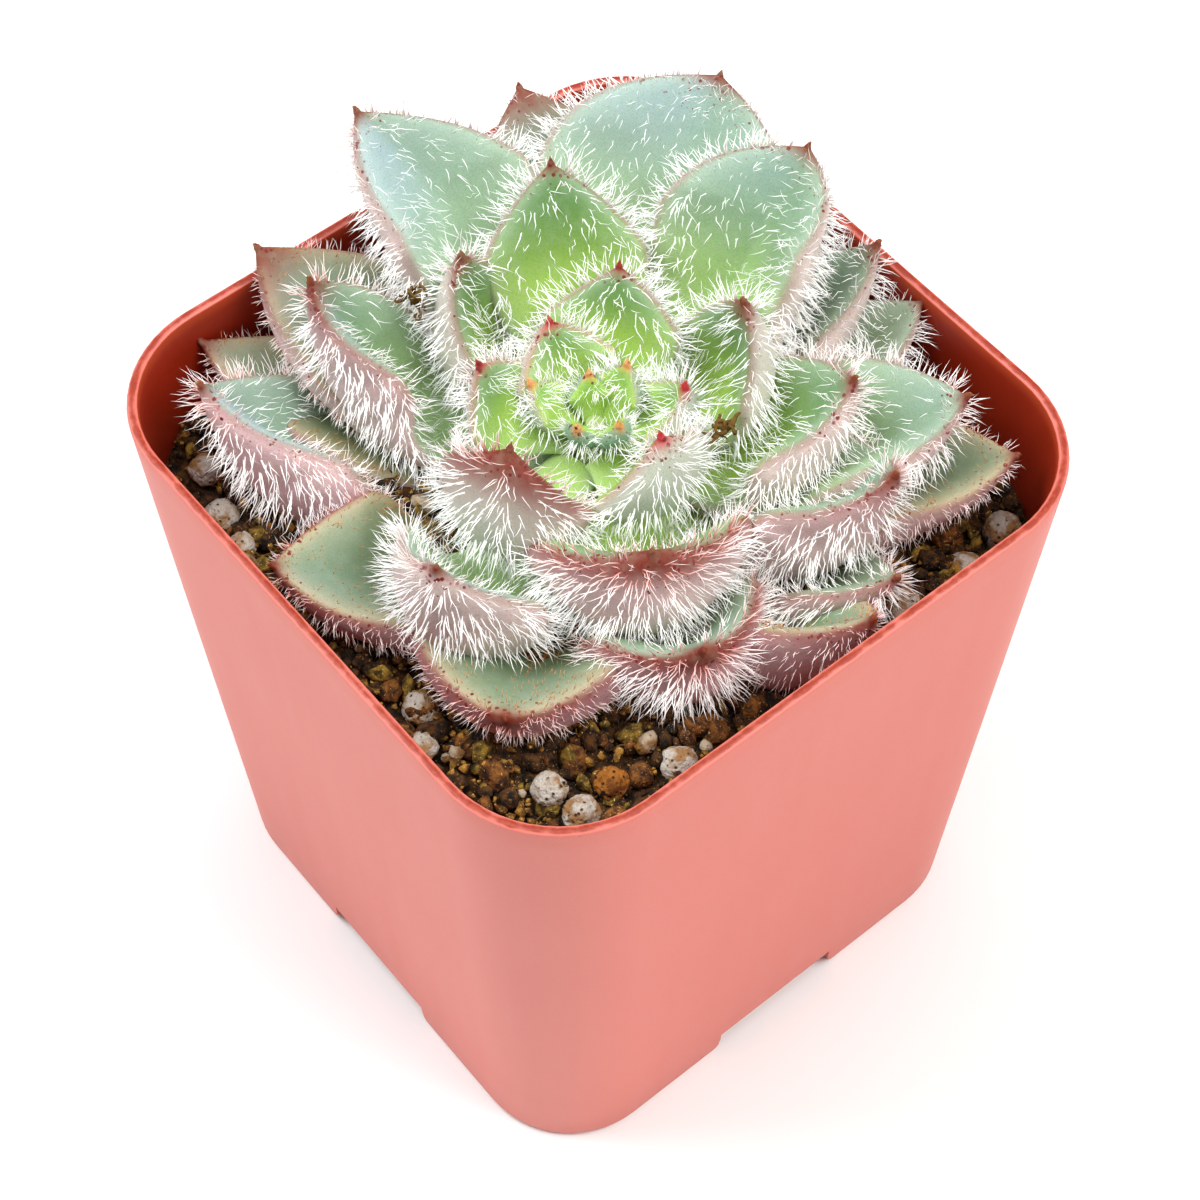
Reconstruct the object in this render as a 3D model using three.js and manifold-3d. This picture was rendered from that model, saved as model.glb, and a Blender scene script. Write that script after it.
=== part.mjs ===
// A hairy rosette succulent growing in a square plastic nursery pot.
// Millimetres, +Z up. The origin is the middle of the pot's footprint, on the surface it stands on.
import * as THREE from "three";
import { mergeVertices } from "three/addons/utils/BufferGeometryUtils.js";
import Module from "manifold-3d";

const wasm = await Module();
wasm.setup();

// Driving dimensions of the pot: a thin tapered square tub with rounded corners.
const POT_HEIGHT = 63;
const POT_TOP_SIDE = 57;
const POT_BASE_SIDE = 51;
const POT_TOP_RADIUS = 10.5;
const POT_BASE_RADIUS = 9;
const BASE_EDGE = 0.8;
const WALL = 0.9;
const FLOOR = 1.2;
const CORNER_STEPS = 6;

// The underside has a cross of channels, which leaves a foot at each corner. Each side of a channel
// flares out towards the ground: how far, and at what height.
const CHANNEL_WIDTH = 13;
const CHANNEL_HEIGHT = 3.2;
const CHANNEL_FLARE = [[1.4, 0], [0.6, 0.45], [0.15, 1.2], [0, 2.1]];
const DRAIN_RADIUS = 2.4;
const DRAIN_SPACING = 14;

// Clearance between pieces that touch, and the smallest facet that is worth keeping.
const GAP = 0.3;
const FINEST_DETAIL = 0.05;

// Soil, stem and loose granules.
const SOIL_LEVEL = 52.6;
const SOIL_BUMP = 0.7;
const SOIL_RINGS = 5;
const STEM_TOP = 62.4;
const STEM_TIP_RADIUS = 0.7;
const COLLAR_HEIGHT = 51;
const COLLAR_RADIUS = 3.2;
const TAPROOT_DEPTH = 24;
const ROOT_COUNT = 5;
const ROOT_LENGTH = 20;
const ROOT_RADIUS = 0.9;

// Shape shared by all leaves, as fractions of a leaf's length, width and thickness. Where there are
// two values, the first is for the newest leaf and the second for those older than MATURE.
const MATURE = 0.5;
const LEAF_SHOULDERS = [0.52, 0.7];
const LEAF_BASE_WIDTHS = [0.45, 0.24];
const TIP_ROUNDNESS = [1.12, 1.38];
const BEND_START = 0.08;
const BEND_END = 0.78;
const LEAF_THICKEST = 0.6;
const LEAF_BASE_THICKNESS = 0.45;
const UPPER_SHARE = 0.7;
const LOWER_SHARE = 1.3;
const CREASE = 0.4;
const LEAF_STATIONS = [0, 0.18, 0.36, 0.52, 0.66, 0.78, 0.88, 0.96];
const LEAF_SIDES = 10;
const MIDRIB_STEPS = 80;

// The leaves spiral down the stem from the newest, at the top, to the oldest.
const NEWEST_BASE = { height: 61.8, radius: 0.5 };
const OLDEST_BASE = { height: 52.8, radius: 3.1 };

// One row per leaf, newest first: compass angle, distance of the tip from the stem's axis, height
// of the tip, width, how far the leaf curls up along its length, how far its halves fold up,
// how far it rolls about its own length and how far it sweeps sideways. Degrees and millimetres.
const LEAVES = [
  [290, 2.6, 64.8, 3.2, 30, 20, 0, 0],
  [0, 2.9, 65.2, 3.4, 30, 20, 0, 0],
  [150, 2.7, 65, 3.6, 30, 20, 0, 0],
  [100, 3.7, 66, 4.6, 30, 20, 0, 0],
  [210, 5.2, 65, 4.6, 30, 20, 0, 0],
  [50, 6.7, 67, 7.5, 70, 40, 0, 0],
  [2, 7.3, 68, 11.5, 105, 18, 0, 0],
  [170, 7, 67, 9, 45, 25, 0, 0],
  [216, 9, 66.6, 8.4, 55, 8, 26, 0],
  [130, 10, 69, 11, 45, 10, 0, 0],
  [282, 9.8, 69.5, 13.5, 120, 28, -15, 0],
  [76, 12.2, 70.5, 11.5, 112, 30, 0, 0],
  [188, 13.6, 71, 11, 112, 42, -10, 0],
  [152, 17, 73, 13.5, 45, 18, 0, 0],
  [336, 15.6, 67, 19, 108, 29, 8, 0],
  [51, 19.3, 67.6, 14.5, 92, 38, 6, 0],
  [212, 22.5, 70.5, 13, 100, 52, -15, 0],
  [99, 24.5, 73, 18, 50, 45, 0, 0],
  [182, 27.6, 74.4, 17, 45, 38, 0, 2.5],
  [287, 20.3, 67.8, 15, 112, 30, 4, 1],
  [120, 27.8, 72.8, 21.5, 45, 26, -15, -2.6],
  [32, 23.3, 66, 15.5, 98, 42, 18, 0],
  [229, 29.6, 66, 16, 105, 42, -25, 0],
  [51, 28, 65.5, 15.5, 60, 38, 0, 0],
  [341, 22.2, 63, 16.5, 108, 33, -8, -1.2],
  [9, 27, 62.8, 14, 100, 34, 30, 2],
  [153, 28.2, 70, 17, 35, 24, 3, 2.2],
  [202, 30, 66, 15, 55, 28, 0, 0],
  [85, 26.8, 65.6, 12.5, 60, 30, 22, 0],
  [256, 26.6, 60, 15.5, 65, 32, 2, -2],
  [306, 25.2, 59.5, 19, 75, 26, 0, 1],
  [47, 32.2, 61, 14.5, 50, 35, 0, 0],
  [20, 26, 61.2, 10, 90, 30, 22, 0],
  [76, 28.5, 62, 12, 40, 35, 0, 0],
  [213, 32.7, 60, 11, 40, 30, 0, 0],
];

// Roundness of the tip for the leaves that have a blunter one, by leaf number.
const BLUNT_TIPS = { 18: 2.2, 21: 2.6 };

// Loose granules on the soil, newest potting mix: x, y and radius, then whether it is burnt orange.
const GRANULES = [
  [18.4, -19.4, 1.35, false],
  [21.4, -18.8, 1.5, false],
  [6.9, -22.7, 1.3, false],
  [9.4, -24.4, 1.2, false],
  [-21.6, -22.4, 1.3, false],
  [-17.3, -24, 1.3, false],
  [-13.7, -24.4, 1.1, false],
  [22.9, 22.6, 1.6, false],
  [23.6, 17.6, 1.2, false],
  [23.4, 11.4, 1.3, false],
  [23.2, -11, 1.4, false],
  [21, -15.6, 1.3, true],
];

const COLOURS = {
  pot: { color: 0xe2877a, roughness: 0.55, metalness: 0 },
  soil: { color: 0x4a3626, roughness: 0.95, metalness: 0 },
  stem: { color: 0x8a9a5e, roughness: 0.8, metalness: 0 },
  leaf: { color: 0x9fc4a4, roughness: 0.6, metalness: 0 },
  pumice: { color: 0xd8d2c8, roughness: 0.9, metalness: 0 },
  ochre: { color: 0xa8712c, roughness: 0.9, metalness: 0 },
};

const group = new THREE.Group();

function smoothstep(x) {
  const t = THREE.MathUtils.clamp(x, 0, 1);
  return t * t * (3 - 2 * t);
}

/** Turns a closed three.js geometry into a solid that can be cut and joined. */
function solidFrom(geometry) {
  const bare = geometry.clone();
  bare.deleteAttribute("normal");
  bare.deleteAttribute("uv");
  const merged = mergeVertices(bare, 1e-5);
  return new wasm.Manifold(
    new wasm.Mesh({
      numProp: 3,
      vertProperties: new Float32Array(merged.attributes.position.array),
      triVerts: new Uint32Array(merged.index.array),
    }),
  );
}

/** Turns a solid back into a geometry. */
function geometryFrom(solid) {
  const mesh = solid.getMesh();
  const geometry = new THREE.BufferGeometry();
  geometry.setAttribute("position", new THREE.BufferAttribute(mesh.vertProperties, mesh.numProp));
  geometry.setIndex(new THREE.BufferAttribute(mesh.triVerts, 1));
  geometry.computeVertexNormals();
  return geometry;
}

function addPiece(name, solid, finish) {
  const material = new THREE.MeshStandardMaterial(COLOURS[finish]);
  const piece = new THREE.Mesh(geometryFrom(solid), material);
  piece.name = name;
  group.add(piece);
}

/** The largest body of a solid, with its tiny facets merged: what its neighbours leave of it. */
function mainBody(solid) {
  const bodies = solid.decompose();
  const largest = bodies.reduce((best, body) => (body.volume() > best.volume() ? body : best));
  return largest.simplify(FINEST_DETAIL);
}

/** A closed skin over rings of points, with a fan from the first and the last ring to a pole. */
function skin(rings, firstPole, lastPole) {
  const sides = rings[0].length;
  const points = [firstPole, ...rings.flat(), lastPole];
  const last = points.length - 1;
  const lastRing = last - sides;
  const index = [];
  for (let k = 0; k < sides; k += 1) {
    const next = (k + 1) % sides;
    index.push(0, 1 + k, 1 + next);
    index.push(last, lastRing + next, lastRing + k);
  }
  for (let r = 0; r < rings.length - 1; r += 1) {
    const low = 1 + r * sides;
    const high = low + sides;
    for (let k = 0; k < sides; k += 1) {
      const next = (k + 1) % sides;
      index.push(low + k, high + k, high + next);
      index.push(low + k, high + next, low + next);
    }
  }
  const geometry = new THREE.BufferGeometry().setFromPoints(points);
  geometry.setIndex(index);
  return solidFrom(geometry);
}

// ---------------------------------------------------------------- pot

function potSide(z) {
  return THREE.MathUtils.mapLinear(z, 0, POT_HEIGHT, POT_BASE_SIDE, POT_TOP_SIDE);
}

function potRadius(z) {
  return THREE.MathUtils.mapLinear(z, 0, POT_HEIGHT, POT_BASE_RADIUS, POT_TOP_RADIUS);
}

/** The pot's rounded square section at a height, moved in by an inset, clockwise from above. */
function potRing(z, inset, height = z) {
  const radius = potRadius(height) - inset;
  const middle = potSide(height) / 2 - potRadius(height);
  const ring = [];
  for (let corner = 0; corner < 4; corner += 1) {
    const start = (corner * Math.PI) / 2;
    const x = middle * (corner === 0 || corner === 3 ? 1 : -1);
    const y = middle * (corner < 2 ? 1 : -1);
    for (let step = 0; step <= CORNER_STEPS; step += 1) {
      const angle = start + (step / CORNER_STEPS) * (Math.PI / 2);
      ring.push(new THREE.Vector3(x + radius * Math.cos(angle), y + radius * Math.sin(angle), z));
    }
  }
  return ring.reverse();
}

/** The tapered block inside the pot's section between two heights. */
function potBlock(bottom, top, inset) {
  const rings = [potRing(bottom, inset), potRing(top, inset)];
  return skin(rings, new THREE.Vector3(0, 0, bottom), new THREE.Vector3(0, 0, top));
}

/** A plain cross under the pot, as wide and as high as asked for. */
function crossBlock(width, top) {
  const reach = POT_TOP_SIDE * 2;
  const depth = top * 2;
  const along = solidFrom(new THREE.BoxGeometry(reach, width, depth));
  const across = solidFrom(new THREE.BoxGeometry(width, reach, depth));
  return along.add(across);
}

/** The cross of channels under the pot, as it is cut out. */
function channelCutter() {
  const half = CHANNEL_WIDTH / 2;
  const right = [[CHANNEL_FLARE[0][0], -1], ...CHANNEL_FLARE, [0, CHANNEL_HEIGHT]].map(
    ([flare, height]) => new THREE.Vector2(half + flare, height),
  );
  const left = right.map((point) => new THREE.Vector2(-point.x, point.y)).reverse();
  const section = new THREE.Shape([...right, ...left]);
  const along = new THREE.ExtrudeGeometry(section, { depth: 2 * POT_TOP_SIDE, bevelEnabled: false });
  along.rotateX(Math.PI / 2);
  along.translate(0, POT_TOP_SIDE, 0);
  const across = along.clone().rotateZ(Math.PI / 2);
  return solidFrom(along).add(solidFrom(across));
}

function drainHole(x, y) {
  const hole = new THREE.CylinderGeometry(DRAIN_RADIUS, DRAIN_RADIUS, 4 * FLOOR, 16);
  hole.rotateX(Math.PI / 2);
  hole.translate(x, y, CHANNEL_HEIGHT + FLOOR / 2);
  return solidFrom(hole);
}

function makePot() {
  const rings = [potRing(0, BASE_EDGE), potRing(BASE_EDGE, 0), potRing(POT_HEIGHT, 0)];
  const tub = skin(rings, new THREE.Vector3(0, 0, 0), new THREE.Vector3(0, 0, POT_HEIGHT));
  const outside = tub.subtract(channelCutter());
  const ridges = crossBlock(CHANNEL_WIDTH + 2 * WALL, CHANNEL_HEIGHT + FLOOR);
  const inside = potBlock(FLOOR, POT_HEIGHT + 1, WALL).subtract(ridges);
  let pot = outside.subtract(inside).subtract(drainHole(0, 0));
  for (let arm = 0; arm < 4; arm += 1) {
    const angle = (arm * Math.PI) / 2;
    pot = pot.subtract(drainHole(DRAIN_SPACING * Math.cos(angle), DRAIN_SPACING * Math.sin(angle)));
  }
  return pot;
}

/** The pot's wall, thicker all round by a gap, which leaves and granules keep clear of. */
function wallClearance() {
  const outside = potBlock(0, POT_HEIGHT + GAP, -GAP);
  return outside.subtract(potBlock(-1, POT_HEIGHT + 1, WALL + GAP));
}

// ---------------------------------------------------------------- stem and roots

/** The short fleshy stem with its tap root, thicker all round by grow. */
function stemCore(grow) {
  const outline = [
    [0, TAPROOT_DEPTH - grow],
    [0.5 + grow, TAPROOT_DEPTH],
    [2.2 + grow, (TAPROOT_DEPTH + COLLAR_HEIGHT) / 2],
    [COLLAR_RADIUS + grow, COLLAR_HEIGHT - 3],
    [COLLAR_RADIUS + grow, COLLAR_HEIGHT + 1],
    [COLLAR_RADIUS * 0.75 + grow, (COLLAR_HEIGHT + STEM_TOP) / 2],
    [STEM_TIP_RADIUS + grow, STEM_TOP],
    [0, STEM_TOP + grow],
  ];
  const points = outline.map(([radius, height]) => new THREE.Vector2(radius, height));
  const core = new THREE.LatheGeometry(points, 14);
  core.rotateX(Math.PI / 2);
  return solidFrom(core);
}

/** A root that slants down and out from the collar. */
function sideRoot(turn, grow) {
  const start = COLLAR_HEIGHT - 8 - 2 * turn;
  const root = new THREE.CylinderGeometry(
    ROOT_RADIUS + grow,
    ROOT_RADIUS / 3 + grow,
    ROOT_LENGTH + grow,
    7,
  );
  root.translate(0, -(ROOT_LENGTH + grow) / 2, 0);
  root.rotateX(Math.PI / 2);
  root.rotateY(THREE.MathUtils.degToRad(-55));
  root.rotateZ((turn * 2 * Math.PI) / ROOT_COUNT);
  root.translate(0, 0, start);
  return solidFrom(root);
}

function stemSolid(grow) {
  let stem = stemCore(grow);
  for (let turn = 0; turn < ROOT_COUNT; turn += 1) {
    stem = stem.add(sideRoot(turn, grow));
  }
  return stem;
}

// ---------------------------------------------------------------- leaves

/** Half the width of a leaf at a fraction of its length, as a share of its widest. */
function widthShare(along, age, bluntness) {
  const mature = smoothstep(age / MATURE);
  const shoulder = THREE.MathUtils.lerp(...LEAF_SHOULDERS, mature);
  const base = THREE.MathUtils.lerp(...LEAF_BASE_WIDTHS, mature);
  if (along < shoulder) {
    return base + (1 - base) * smoothstep(along / shoulder);
  }
  const roundness = bluntness ?? THREE.MathUtils.lerp(...TIP_ROUNDNESS, mature);
  return 1 - ((along - shoulder) / (1 - shoulder)) ** roundness;
}

/** The thickness of a leaf at a fraction of its length, as a share of its thickest. */
function thicknessShare(along) {
  if (along < LEAF_THICKEST) {
    return LEAF_BASE_THICKNESS + (1 - LEAF_BASE_THICKNESS) * smoothstep(along / LEAF_THICKEST);
  }
  return 1 - ((along - LEAF_THICKEST) / (1.02 - LEAF_THICKEST)) ** 2.4;
}

/** The midrib in its own plane, from the leaf's base to its tip: outward, upward and slope. */
function midrib(base, tip, curl) {
  const slopes = [];
  const path = [new THREE.Vector2(0, 0)];
  for (let step = 0; step <= MIDRIB_STEPS; step += 1) {
    slopes.push(curl * smoothstep((step / MIDRIB_STEPS - BEND_START) / (BEND_END - BEND_START)));
  }
  for (let step = 0; step < MIDRIB_STEPS; step += 1) {
    const slope = (slopes[step] + slopes[step + 1]) / 2;
    path.push(path[step].clone().add(new THREE.Vector2(Math.cos(slope), Math.sin(slope))));
  }
  const reach = tip.clone().sub(base);
  const end = path[MIDRIB_STEPS];
  const turn = reach.angle() - end.angle();
  const size = reach.length() / end.length();
  const origin = new THREE.Vector2(0, 0);
  return (along) => {
    const step = Math.round(along * MIDRIB_STEPS);
    const point = path[step].clone().rotateAround(origin, turn).multiplyScalar(size).add(base);
    return { out: point.x, up: point.y, slope: slopes[step] + turn, length: MIDRIB_STEPS * size };
  };
}

/** One leaf as a closed skin over its cross sections, larger all round by grow. */
function leafSolid(row, order, grow) {
  const [compass, reach, height, width, curl, fold, roll, sweep] = row;
  const age = order / (LEAVES.length - 1);
  const base = new THREE.Vector2(
    THREE.MathUtils.lerp(NEWEST_BASE.radius, OLDEST_BASE.radius, age ** 0.6),
    THREE.MathUtils.lerp(NEWEST_BASE.height, OLDEST_BASE.height, age),
  );
  const tip = new THREE.Vector2(reach, height);
  const thickness = 0.9 + 0.22 * width;
  const rib = midrib(base, tip, THREE.MathUtils.degToRad(curl));
  const heading = THREE.MathUtils.degToRad(compass);
  const outward = new THREE.Vector3(Math.cos(heading), Math.sin(heading), 0);
  const sideways = new THREE.Vector3(Math.sin(heading), -Math.cos(heading), 0);
  const upward = new THREE.Vector3(0, 0, 1);

  const place = (along, x, y) => {
    const { out, up, slope, length } = rib(along);
    const lean = THREE.MathUtils.degToRad(roll) * Math.min(1, along / 0.5);
    const side = x * Math.cos(lean) - y * Math.sin(lean);
    const face = x * Math.sin(lean) + y * Math.cos(lean);
    const back = face * Math.sin(slope);
    const bulge = sweep * Math.sin(Math.PI * along);
    const veer = Math.atan2(sweep * Math.PI * Math.cos(Math.PI * along), length);
    return outward.clone().multiplyScalar(out - back * Math.cos(veer) - side * Math.sin(veer))
      .addScaledVector(upward, up + face * Math.cos(slope))
      .addScaledVector(sideways, bulge + side * Math.cos(veer) - back * Math.sin(veer));
  };

  const creaseRise = Math.sqrt(1 + CREASE * CREASE) - CREASE;
  const section = (along) => {
    const breadth = widthShare(along, age, BLUNT_TIPS[order + 1]);
    const halfWidth = (width / 2) * breadth;
    const halfThickness = (thickness / 2) * thicknessShare(along) + grow;
    const opening = 0.2 + 0.8 * Math.min(1, along / LEAF_THICKEST);
    const bend = THREE.MathUtils.degToRad(fold) * opening * Math.min(1, 1.1 * breadth);
    const ring = [];
    for (let k = 0; k < LEAF_SIDES; k += 1) {
      const angle = (k / LEAF_SIDES) * 2 * Math.PI;
      const across = Math.cos(angle);
      const arm = Math.sqrt(across * across + CREASE * CREASE);
      const x = (halfWidth + grow) * Math.cos(bend) * across;
      const y = (halfWidth + grow) * Math.sin(bend) * (arm - CREASE) / creaseRise;
      const tilt = Math.atan2(Math.sin(bend) * (across / arm) / creaseRise, Math.cos(bend));
      const share = Math.sin(angle) > 0 ? UPPER_SHARE : LOWER_SHARE;
      const offset = halfThickness * share * Math.sin(angle);
      ring.push(place(along, x - Math.sin(tilt) * offset, y + Math.cos(tilt) * offset));
    }
    return ring;
  };

  return skin(LEAF_STATIONS.map(section), place(0, 0, 0), place(1, 0, 0));
}

// ---------------------------------------------------------------- soil and granules

/** Height of the crumbly surface of the soil. */
function soilHeight(x, y) {
  return SOIL_LEVEL + SOIL_BUMP * Math.sin(x * 0.31 + 1) * Math.cos(y * 0.27 + x * 0.11);
}

function makeSoil() {
  const surface = [];
  for (let ring = 0; ring < SOIL_RINGS; ring += 1) {
    const share = 1 - ring / SOIL_RINGS;
    surface.push(
      potRing(0, WALL + GAP, SOIL_LEVEL).map((point) => {
        const x = point.x * share;
        const y = point.y * share;
        return new THREE.Vector3(x, y, soilHeight(x, y));
      }),
    );
  }
  const bottom = FLOOR + GAP;
  const rings = [potRing(bottom, WALL + GAP), ...surface];
  const top = new THREE.Vector3(0, 0, soilHeight(0, 0));
  const filling = skin(rings, new THREE.Vector3(0, 0, bottom), top);
  return filling.subtract(crossBlock(CHANNEL_WIDTH + 2 * (WALL + GAP), CHANNEL_HEIGHT + FLOOR + GAP));
}

/** A rounded, slightly lumpy grain that lies half sunk in the soil. */
function granule(index, grow) {
  const [x, y, radius] = GRANULES[index];
  const grain = new THREE.IcosahedronGeometry(radius, 1);
  const position = grain.attributes.position;
  const point = new THREE.Vector3();
  for (let i = 0; i < position.count; i += 1) {
    point.fromBufferAttribute(position, i);
    const lump = 1 + 0.1 * Math.sin(2.3 * point.x + index) * Math.cos(1.9 * point.y - index);
    point.multiplyScalar(lump * (1 + grow / radius));
    position.setXYZ(i, point.x, point.y, point.z * 0.85);
  }
  grain.translate(x, y, soilHeight(x, y) + radius * 0.35);
  return solidFrom(grain);
}

// ---------------------------------------------------------------- assembly

const twoDigits = (number) => String(number).padStart(2, "0");

addPiece("pot", makePot(), "pot");
addPiece("stem", stemSolid(0), "stem");

// Each leaf is pressed into shape by the stem, the rim and the newer leaves that it grew around.
let grown = stemSolid(GAP).add(wallClearance());
LEAVES.forEach((row, order) => {
  addPiece(`leaf_${twoDigits(order + 1)}`, mainBody(leafSolid(row, order, 0).subtract(grown)), "leaf");
  grown = grown.add(leafSolid(row, order, GAP));
});

GRANULES.forEach(([, , , ochre], index) => {
  const grain = mainBody(granule(index, 0).subtract(grown));
  addPiece(`granule_${twoDigits(index + 1)}`, grain, ochre ? "ochre" : "pumice");
});
GRANULES.forEach((row, index) => {
  grown = grown.add(granule(index, GAP));
});

addPiece("soil", mainBody(makeSoil().subtract(grown)), "soil");

export default group;
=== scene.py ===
import math

import bmesh
import bpy
import numpy as np
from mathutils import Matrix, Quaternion, Vector, noise
from mathutils.bvhtree import BVHTree


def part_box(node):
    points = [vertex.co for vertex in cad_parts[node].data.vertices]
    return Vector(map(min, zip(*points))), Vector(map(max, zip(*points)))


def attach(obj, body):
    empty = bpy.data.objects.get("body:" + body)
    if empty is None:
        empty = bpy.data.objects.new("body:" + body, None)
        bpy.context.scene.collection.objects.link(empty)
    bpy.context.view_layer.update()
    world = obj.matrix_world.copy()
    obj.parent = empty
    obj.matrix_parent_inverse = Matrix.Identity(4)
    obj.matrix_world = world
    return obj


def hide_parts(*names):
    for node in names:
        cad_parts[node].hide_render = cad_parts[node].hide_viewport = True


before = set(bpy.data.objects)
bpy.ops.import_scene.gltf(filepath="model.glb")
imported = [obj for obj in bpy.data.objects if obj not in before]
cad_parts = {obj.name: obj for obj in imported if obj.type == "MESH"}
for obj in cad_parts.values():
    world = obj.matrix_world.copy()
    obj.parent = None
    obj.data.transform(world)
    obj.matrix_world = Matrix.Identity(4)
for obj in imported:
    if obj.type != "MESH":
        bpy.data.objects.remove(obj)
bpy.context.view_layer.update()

MM = 0.001
SEED = 7

# Camera: where it stands, what it looks at (metres) and its lens (mm on a 36 mm sensor).
CAMERA_PLACE = (0.095732, -0.078060, 0.226625)
CAMERA_AIM = (-0.001957, 0.002110, 0.033364)
CAMERA_LENS = 80.88
LIGHT_AIM = (0, 0, 0.05)

# Pot, as in the CAD model.
POT_LOW, POT_HIGH = [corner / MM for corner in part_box("pot")]
POT_HEIGHT = POT_HIGH.z
POT_TOP_SIDE = POT_HIGH.x - POT_LOW.x
POT_BASE_SIDE = 51
POT_TOP_RADIUS = 10.5
POT_BASE_RADIUS = 9
WALL = 0.9
CHANNEL_WIDTH = 13
CHANNEL_HEIGHT = 3.2
CHANNEL_FLARE = [(1.4, 0), (0.6, 0.45), (0.15, 1.2), (0, 2.1)]
INNER_FLOOR = CHANNEL_HEIGHT + 1.2
DRAIN_RADIUS = 2.4
DRAIN_SPACING = 14
DRILL_ENDS = (-1, 8)
DRILL_SIDES = 24
BASE_EDGE = 0.8
LIP_FLATNESS = 0.8
SIDE_BOW = 0.12
OUTER_LEVELS = (8, 18, 28, 38, 48, 56, 60)
INNER_LEVELS = (60, 56, 50, 40, 20, INNER_FLOOR)
CORNER_STEPS = 14
SIDE_STEPS = 10

# Soil, as in the CAD model, and the crumbs, fibres and scraps of stalk that lie on it.
SOIL_LEVEL = 52.6
SOIL_BUMP = 0.7
SOIL_RINGS = 44
CRUMB_KINDS = 9
CRUMB_NEAREST = 11
FIBRES = 70
WISP_STRANDS = 14
STRAND_STEPS = 7

# Leaf shape: fractions of a leaf's length, width and thickness, as in the CAD model. The spikes at
# the tips and the uneven edges are only here.
LEAF_SHOULDERS = (0.52, 0.7)
LEAF_BASE_WIDTHS = (0.45, 0.24)
TIP_ROUNDNESS = (1.12, 1.38)
BLUNT_TIPS = {18: 2.2, 21: 2.6}
MATURE = 0.5
BEND_START = 0.08
BEND_END = 0.78
LEAF_THICKEST = 0.6
LEAF_BASE_THICKNESS = 0.45
UPPER_SHARE = 0.7
LOWER_SHARE = 1.3
CREASE = 0.4
CREASE_RISE = math.sqrt(1 + CREASE * CREASE) - CREASE
NEWEST_BASE = (0.5, 61.8)
OLDEST_BASE = (3.1, 52.8)
MIDRIB_STEPS = 200
LEAF_STATIONS = 54
END_STATIONS = (0.004, 0.998)
LEAF_SIDES = 40
SPIKE_LENGTHS = (0.75, 0.3)
SPIKE_RADIUS = 0.3
SPIKE_STATIONS = np.array([0.1, 0.35, 0.6, 0.85])
EDGE_WAVE = 0.025
EDGE_RIPPLE = 0.012
BASE_OPENING = 0.2
ROLL_END = 0.5

# One row per leaf, newest first, as in the CAD model: compass angle, distance of the tip from the
# stem's axis, height of the tip, width, curl, fold, roll and sideways sweep. Millimetres and degrees.
LEAVES = [
    (290, 2.6, 64.8, 3.2, 30, 20, 0, 0),
    (0, 2.9, 65.2, 3.4, 30, 20, 0, 0),
    (150, 2.7, 65, 3.6, 30, 20, 0, 0),
    (100, 3.7, 66, 4.6, 30, 20, 0, 0),
    (210, 5.2, 65, 4.6, 30, 20, 0, 0),
    (50, 6.7, 67, 7.5, 70, 40, 0, 0),
    (2, 7.3, 68, 11.5, 105, 18, 0, 0),
    (170, 7, 67, 9, 45, 25, 0, 0),
    (216, 9, 66.6, 8.4, 55, 8, 26, 0),
    (130, 10, 69, 11, 45, 10, 0, 0),
    (282, 9.8, 69.5, 13.5, 120, 28, -15, 0),
    (76, 12.2, 70.5, 11.5, 112, 30, 0, 0),
    (188, 13.6, 71, 11, 112, 42, -10, 0),
    (152, 17, 73, 13.5, 45, 18, 0, 0),
    (336, 15.6, 67, 19, 108, 29, 8, 0),
    (51, 19.3, 67.6, 14.5, 92, 38, 6, 0),
    (212, 22.5, 70.5, 13, 100, 52, -15, 0),
    (99, 24.5, 73, 18, 50, 45, 0, 0),
    (182, 27.6, 74.4, 17, 45, 38, 0, 2.5),
    (287, 20.3, 67.8, 15, 112, 30, 4, 1),
    (120, 27.8, 72.8, 21.5, 45, 26, -15, -2.6),
    (32, 23.3, 66, 15.5, 98, 42, 18, 0),
    (229, 29.6, 66, 16, 105, 42, -25, 0),
    (51, 28, 65.5, 15.5, 60, 38, 0, 0),
    (341, 22.2, 63, 16.5, 108, 33, -8, -1.2),
    (9, 27, 62.8, 14, 100, 34, 30, 2),
    (153, 28.2, 70, 17, 35, 24, 3, 2.2),
    (202, 30, 66, 15, 55, 28, 0, 0),
    (85, 26.8, 65.6, 12.5, 60, 30, 22, 0),
    (256, 26.6, 60, 15.5, 65, 32, 2, -2),
    (306, 25.2, 59.5, 19, 75, 26, 0, 1),
    (47, 32.2, 61, 14.5, 50, 35, 0, 0),
    (20, 26, 61.2, 10, 90, 30, 22, 0),
    (76, 28.5, 62, 12, 40, 35, 0, 0),
    (213, 32.7, 60, 11, 40, 30, 0, 0),
]
NEWEST_BUDS = 5
INNER_LEAVES = 10
MIDDLE_LEAVES = 26
# Weathered leaves, leaves with thicker hair towards the base, and leaves that stay pale in the sun.
WORN_LEAVES = {26, 28, 30, 31, 32, 35}
SHAGGY_BASES = {11, 15}
SHADED_LEAVES = {20}
# The size in millimetres of the dry red patch at a leaf's tip, where it isn't the usual one.
SCARS = {
    11: 3.1, 12: 1.5, 13: 1.4, 15: 1.9, 16: 0.9, 17: 2.1, 18: 0.9, 22: 1.2, 25: 1.5, 27: 3.2, 28: 3.4,
    29: 1.3, 35: 1.6,
}
# How deeply the undersides of the ruddier leaves are flushed along the margin.
BLUSHES = {11: 1.0, 15: 1.0, 17: 0.6, 22: 0.6, 25: 1.0, 26: 0.9, 30: 0.9, 31: 0.9, 32: 0.5, 33: 0.5}
USUAL_BLUSH = 0.12
# Compass angles of the sunniest side, and of the side of a cool light that is painted as a pale sheen on
# the leaves that face it.
SUN_SIDE = 300
PAINTED_SHEEN_SIDE = 195
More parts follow.
